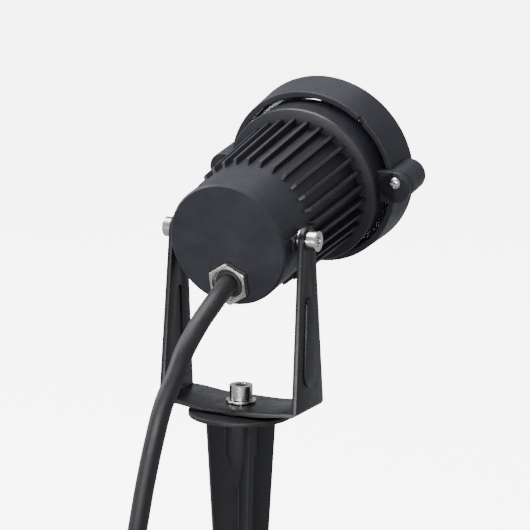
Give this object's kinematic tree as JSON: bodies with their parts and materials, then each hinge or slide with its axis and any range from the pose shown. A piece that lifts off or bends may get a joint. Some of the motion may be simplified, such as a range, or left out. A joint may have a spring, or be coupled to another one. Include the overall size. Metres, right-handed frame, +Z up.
{
  "type": "light projector stake",
  "caption": "Finned cylindrical spotlight head on a U-shaped yoke, on a collared ground stake with crossed blades, with a mains cord and plug.",
  "frame": {"origin": "on the stake's axis, at the underside of the collar, where the ground surface is in use", "axes": "+Z up along the stake and the yoke's swivel axis; the lamp shines towards -Y; the tilt axis runs along X"},
  "size_m": [0.1193, 0.1637, 0.3112],
  "materials": {
    "cast_body": "satin powder coat, dark grey",
    "steel_yoke": "gloss powder coat, dark grey",
    "stake_plastic": "fine mould texture",
    "bright_steel": "bright zinc plate",
    "gland_nickel": "nickel plate",
    "seal_rubber": "matt",
    "cord_rubber": "matt sheath",
    "plug_rubber": "moulded, matt",
    "pin_metal": "nickel plate",
    "clear_glass": "polished",
    "mirror_bowl": "vacuum-plated bowl",
    "bare_aluminium": "machined",
    "led_white": "moulded white",
    "led_phosphor": "phosphor over silicone",
    "board_green": "solder mask",
    "part_black": "moulded",
    "part_yellow": "wrapped and varnished",
    "wire_brown": "wire sleeve",
    "wire_blue": "wire sleeve",
    "wire_green": "wire sleeve",
    "wire_red": "wire sleeve"
  },
  "bodies": {
    "stake": {"ground_stake": "stake_plastic", "base_bolt": "bright_steel", "base_washer": "bright_steel", "base_nut": "bright_steel"},
    "yoke": {"yoke_bracket": "steel_yoke", "power_cord": "cord_rubber", "cord_coil": "cord_rubber", "coil_tie": "seal_rubber", "cord_tail": "cord_rubber", "plug_body": "plug_rubber", "plug_pin_1": "pin_metal", "plug_pin_2": "pin_metal", "plug_clip_1": "pin_metal", "plug_clip_2": "pin_metal"},
    "head": {"rear_housing": "cast_body", "front_hood": "cast_body", "hood_screw_1": "bright_steel", "hood_screw_2": "bright_steel", "front_glass": "clear_glass", "glass_gasket": "seal_rubber", "reflector": "mirror_bowl", "heat_plate": "bare_aluminium", "thermal_pad": "led_white", "led_board": "led_white", "led_emitter": "led_phosphor", "plate_screw_1": "bright_steel", "plate_screw_2": "bright_steel", "plate_screw_3": "bright_steel", "holder_screw_1": "bright_steel", "holder_screw_2": "bright_steel", "led_holder": "led_white", "board_screw_1": "bright_steel", "board_screw_2": "bright_steel", "driver_board": "board_green", "transformer": "part_yellow", "filter_capacitor": "part_black", "input_choke": "part_black", "film_capacitor": "part_yellow", "driver_chip": "part_black", "terminal_block": "led_white", "wire_live": "wire_brown", "wire_neutral": "wire_blue", "wire_earth": "wire_green", "led_lead_plus": "wire_red", "led_lead_minus": "part_black", "gland_nut": "gland_nickel", "gland_seal": "seal_rubber", "pivot_bolt_left": "bright_steel", "pivot_bolt_right": "bright_steel", "pivot_washer_left": "bright_steel", "pivot_washer_right": "bright_steel"}
  },
  "joints": [
    {"name": "yoke_swivel", "type": "hinge", "parent": "stake", "child": "yoke", "pos_m": [0, 0, 0.0033], "axis": [0, 0, 1], "range_deg": [-180, 180]},
    {"name": "head_tilt", "type": "hinge", "parent": "yoke", "child": "head", "pos_m": [0, 0, 0.078], "axis": [-1, 0, 0], "range_deg": [-52, 76], "deforming": ["power_cord"]}
  ]
}
